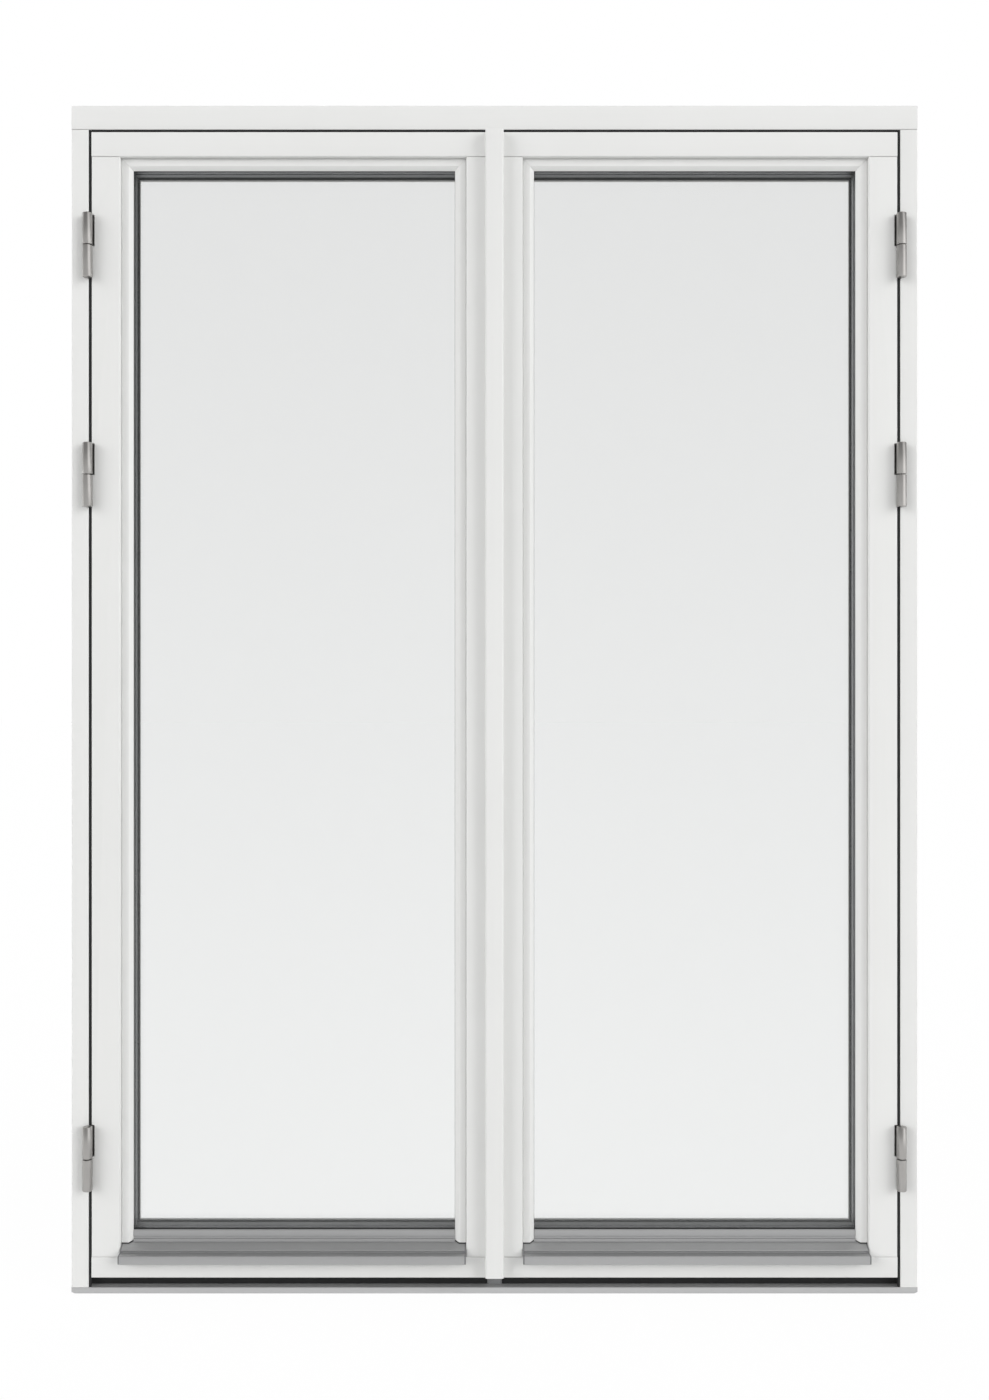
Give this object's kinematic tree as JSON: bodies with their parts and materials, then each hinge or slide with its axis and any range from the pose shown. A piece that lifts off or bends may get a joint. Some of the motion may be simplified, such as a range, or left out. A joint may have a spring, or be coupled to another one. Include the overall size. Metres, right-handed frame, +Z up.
{
  "type": "outward-opening glazed double door with frame",
  "caption": "Pair of outward-opening glazed timber doors in their own frame, with threshold, lift-off hinges, cover strip and rod lock.",
  "frame": {"origin": "middle of the threshold's underside, halfway through the frame's depth", "axes": "+Z up along the jambs, -Y towards the outside that the leaves open to, +X to the right seen from outside"},
  "size_m": [1.48, 0.133, 2.08],
  "materials": {
    "white_paint": "pine with white semi-matt paint",
    "anodised": "grey anodised, brushed along its length",
    "oiled_oak": "oiled hardwood",
    "grey_block": "moulded, matt grey",
    "black_rubber": "extruded rubber, matt",
    "zinc": "zinc-plated steel",
    "nickel": "satin nickel plate",
    "clear_glass": "clear float glass",
    "spacer_grey": "dull aluminium with sealant behind"
  },
  "bodies": {
    "frame": {"frame_head": "white_paint", "frame_jamb_left": "white_paint", "frame_jamb_right": "white_paint", "threshold": "anodised", "threshold_board": "oiled_oak", "threshold_block": "grey_block", "threshold_upstands": "black_rubber", "frame_seals": "black_rubber", "gap_seals": "black_rubber", "head_keep": "zinc", "threshold_keep": "zinc", "hinge_frame_left_low": "nickel", "hinge_frame_left_mid": "nickel", "hinge_frame_left_high": "nickel", "hinge_frame_right_low": "nickel", "hinge_frame_right_mid": "nickel", "hinge_frame_right_high": "nickel"},
    "left_leaf": {"left_hinge_stile": "white_paint", "left_lock_stile": "white_paint", "left_top_rail": "white_paint", "left_bottom_rail": "white_paint", "left_bead_top": "white_paint", "left_bead_hinge": "white_paint", "left_bead_lock": "white_paint", "left_drip_profile": "anodised", "left_drip_caps": "grey_block", "left_panes": "clear_glass", "left_spacers": "spacer_grey", "left_gaskets": "black_rubber", "left_glass_blocks": "black_rubber", "hinge_leaf_left_low": "nickel", "hinge_leaf_left_mid": "nickel", "hinge_leaf_left_high": "nickel", "left_flush_plates": "zinc"},
    "right_leaf": {"right_hinge_stile": "white_paint", "right_lock_stile": "white_paint", "right_top_rail": "white_paint", "right_bottom_rail": "white_paint", "right_bead_top": "white_paint", "right_bead_hinge": "white_paint", "right_bead_lock": "white_paint", "right_drip_profile": "anodised", "right_drip_caps": "grey_block", "right_panes": "clear_glass", "right_spacers": "spacer_grey", "right_gaskets": "black_rubber", "right_glass_blocks": "black_rubber", "hinge_leaf_right_low": "nickel", "hinge_leaf_right_mid": "nickel", "hinge_leaf_right_high": "nickel", "cover_strip": "white_paint", "lock_faceplate": "zinc", "lock_case": "zinc", "handle_plate": "nickel"},
    "left_flush_top": {"left_bolt_top": "zinc"},
    "left_flush_bottom": {"left_bolt_bottom": "zinc"},
    "turning_handle": {"handle": "nickel"},
    "upper_rod": {"rod_top": "zinc"},
    "lower_rod": {"rod_bottom": "zinc"}
  },
  "joints": [
    {"name": "left_swing", "type": "hinge", "parent": "frame", "child": "left_leaf", "pos_m": [-0.7095, -0.0663, 1.04], "axis": [0, 0, -1], "range_deg": [0, 170]},
    {"name": "right_swing", "type": "hinge", "parent": "frame", "child": "right_leaf", "pos_m": [0.7095, -0.0663, 1.04], "axis": [0, 0, 1], "range_deg": [0, 170]},
    {"name": "handle_turn", "type": "hinge", "parent": "right_leaf", "child": "turning_handle", "pos_m": [0.032, 0.0105, 1], "axis": [0, 1, 0], "range_deg": [0, 180]},
    {"name": "upper_rod_slide", "type": "slide", "parent": "right_leaf", "child": "upper_rod", "axis": [0, 0, 1], "range_m": [0, 0.04]},
    {"name": "lower_rod_slide", "type": "slide", "parent": "right_leaf", "child": "lower_rod", "axis": [0, 0, -1], "range_m": [0, 0.04]},
    {"name": "flush_bolt_top_slide", "type": "slide", "parent": "left_leaf", "child": "left_flush_top", "axis": [0, 0, 1], "range_m": [0, 0.02]},
    {"name": "flush_bolt_bottom_slide", "type": "slide", "parent": "left_leaf", "child": "left_flush_bottom", "axis": [0, 0, -1], "range_m": [0, 0.02]}
  ],
  "couplings": [
    {"joint": "upper_rod_slide", "follows": "handle_turn", "m_per_rad": 0.01273},
    {"joint": "lower_rod_slide", "follows": "handle_turn", "m_per_rad": 0.01273}
  ]
}
